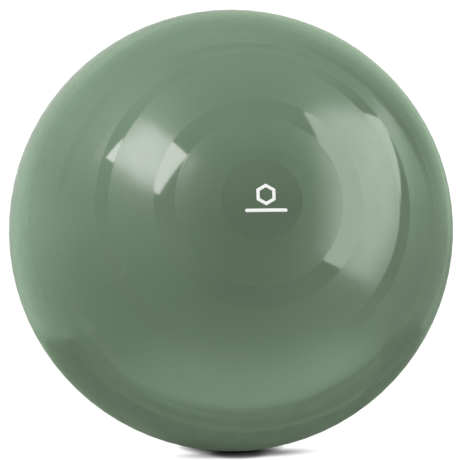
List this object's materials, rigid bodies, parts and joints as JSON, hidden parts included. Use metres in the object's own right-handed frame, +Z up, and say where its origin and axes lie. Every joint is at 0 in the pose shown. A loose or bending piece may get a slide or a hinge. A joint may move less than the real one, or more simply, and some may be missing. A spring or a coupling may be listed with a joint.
{
  "type": "exercise ball",
  "caption": "Inflated PVC exercise ball with ribbed and smooth belts round its poles, a moulded-in valve seat and a pull-out valve plug.",
  "frame": {"origin": "middle of the flat patch on which the ball rests on the floor", "axes": "+Z up; the front pole, which carries the print, faces -Y and looks 13 degrees upwards; the valve is at the rear pole, towards +Y"},
  "size_m": [0.6492, 0.6494, 0.6443],
  "materials": {
    "skin_pvc": "gloss",
    "seat_pvc": "satin",
    "plug_plastic": "satin",
    "print_ink": "satin"
  },
  "bodies": {
    "ball": {"ball_skin": "skin_pvc", "valve_seat": "seat_pvc"},
    "plug": {"valve_plug": "plug_plastic"}
  },
  "joints": [
    {"name": "plug_pull", "type": "slide", "parent": "ball", "child": "plug", "axis": [0, 0.9741, -0.2261], "range_m": [0, 0.036]}
  ]
}
